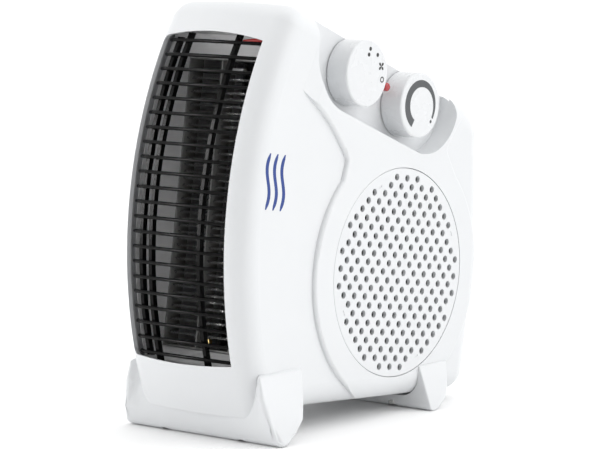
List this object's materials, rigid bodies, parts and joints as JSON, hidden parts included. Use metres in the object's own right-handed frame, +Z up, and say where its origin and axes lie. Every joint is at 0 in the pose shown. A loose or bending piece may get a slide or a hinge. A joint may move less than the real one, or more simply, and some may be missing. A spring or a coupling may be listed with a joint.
{
  "type": "fan heater",
  "caption": "Upright fan heater: tilted flat housing on two wedge feet, wire outlet grille in front, round perforated intake and two rotary knobs on one side.",
  "frame": {"origin": "middle of the footprint, on the surface the heater stands on", "axes": "+Z up; the air outlet faces -Y; the intake grille and the knobs are on the +X side"},
  "size_m": [0.118, 0.2326, 0.2496],
  "materials": {
    "white_shell": "smooth moulded plastic, semi-gloss",
    "knob_white": "smooth moulded plastic, semi-gloss",
    "black_wire": "gloss black enamel on steel wire",
    "red_lens": "clear red plastic",
    "red_sleeve": "silicone-covered lead",
    "duct_sheet": "bright aluminised sheet steel",
    "mica": "heat-proof mica board",
    "ribbon": "resistance ribbon",
    "control_black": "thermoset plastic",
    "control_white": "steatite",
    "brass_tab": "plated brass",
    "lamp_glass": "small neon lamp",
    "steel": "machined or stamped steel",
    "screw_steel": "zinc-plated steel",
    "copper": "enamelled copper winding",
    "bronze": "sintered bronze",
    "duct_plastic": "heat-resistant plastic",
    "fan_plastic": "moulded plastic",
    "gland_rubber": "moulded rubber"
  },
  "bodies": {
    "housing": {"near_shell": "white_shell", "far_shell": "white_shell", "intake_grille": "white_shell", "front_foot": "white_shell", "rear_foot": "white_shell", "outlet_wires": "black_wire", "outlet_ribs": "black_wire", "grille_tie": "black_wire", "foot_screws": "screw_steel", "housing_screws": "screw_steel", "motor_screws": "screw_steel", "cord_gland": "gland_rubber", "cord_clamp": "duct_plastic", "terminal_block": "control_black", "selector_switch": "control_black", "switch_tabs": "brass_tab", "thermostat_base": "control_white", "bimetal_strip": "steel", "contact_leaf": "brass_tab", "pilot_lens": "red_lens", "neon_lamp": "lamp_glass", "duct_liner": "duct_sheet", "mica_frame": "mica", "mica_cards": "mica", "heating_ribbons": "ribbon", "element_eyelets": "brass_tab", "thermal_cutout": "control_black", "thermal_fuse": "steel", "red_lead": "red_sleeve", "scroll_wall": "duct_plastic", "scroll_back": "duct_plastic", "inlet_plate": "duct_plastic", "stator_stack": "steel", "coil_bobbin": "control_white", "motor_coil": "copper", "front_bracket": "steel", "rear_bracket": "steel", "bearing_bushes": "bronze"},
    "selector": {"selector_knob": "knob_white", "selector_spindle": "brass_tab"},
    "thermostat": {"thermostat_knob": "knob_white", "thermostat_spindle": "brass_tab"},
    "fan": {"rotor": "steel", "motor_shaft": "steel", "fan_wheel": "fan_plastic", "wheel_clip": "steel"}
  },
  "joints": [
    {"name": "selector_turn", "type": "hinge", "parent": "housing", "child": "selector", "pos_m": [0.044, -0.00688, 0.20727], "axis": [-1, 0, 0], "range_deg": [0, 96]},
    {"name": "thermostat_turn", "type": "hinge", "parent": "housing", "child": "thermostat", "pos_m": [0.044, 0.04507, 0.18516], "axis": [-1, 0, 0], "range_deg": [-190, 90]},
    {"name": "fan_spin", "type": "hinge", "parent": "housing", "child": "fan", "pos_m": [0, 0.0257, 0.08635], "axis": [1, 0, 0], "continuous": true}
  ]
}
